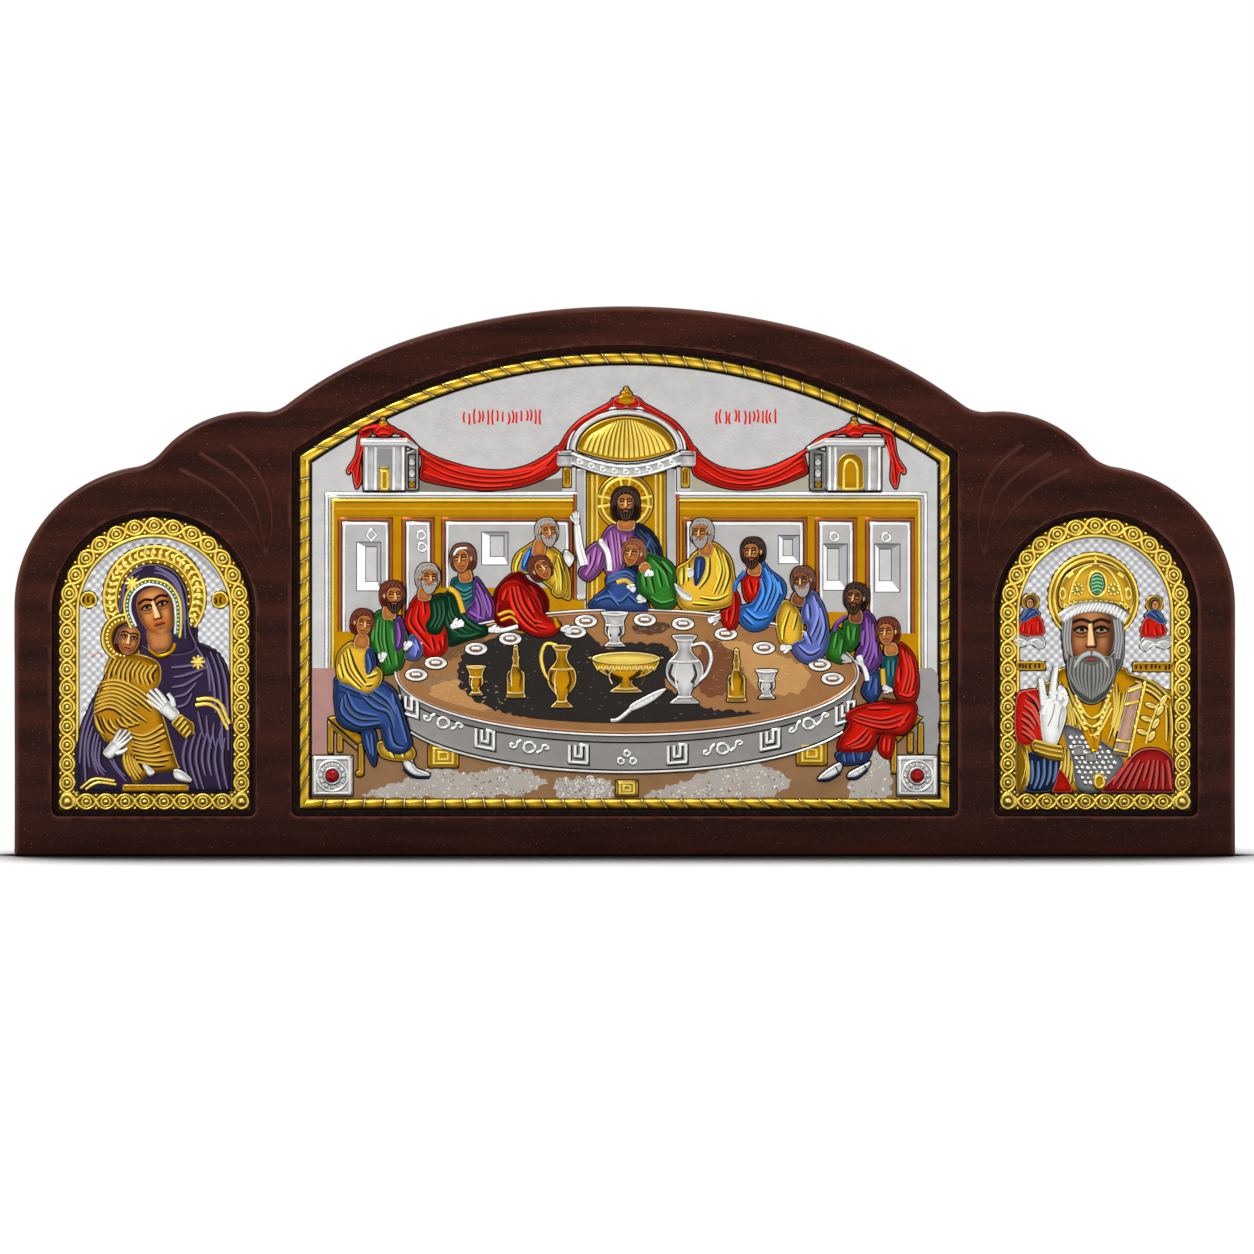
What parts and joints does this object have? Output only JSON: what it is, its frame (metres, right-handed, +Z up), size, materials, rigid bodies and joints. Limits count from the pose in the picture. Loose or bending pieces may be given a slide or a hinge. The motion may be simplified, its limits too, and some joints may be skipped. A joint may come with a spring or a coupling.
{
  "type": "triptych icon panel",
  "caption": "Free-standing lobed wooden panel with arched recesses that hold embossed silver and gilt relief plates of a supper, a mother with child, and a bishop.",
  "frame": {"origin": "middle of the underside, in the plane halfway between the front and the back", "axes": "+X to the viewer's right along the panel, +Y from the front to the back, +Z up"},
  "size_m": [0.4, 0.02, 0.1802],
  "materials": {
    "dark_wood": "dark mahogany stain with a satin lacquer and fine pale specks",
    "silver_relief": "embossed silver with gilding and translucent colours",
    "gilt_relief": "embossed silver, mostly gilt, with translucent colours",
    "red_stone": "polished dark red glass"
  },
  "bodies": {
    "root": {"board": "dark_wood", "center_plate": "silver_relief", "left_plate": "gilt_relief", "right_plate": "gilt_relief", "left_stone": "red_stone", "right_stone": "red_stone"}
  },
  "joints": []
}
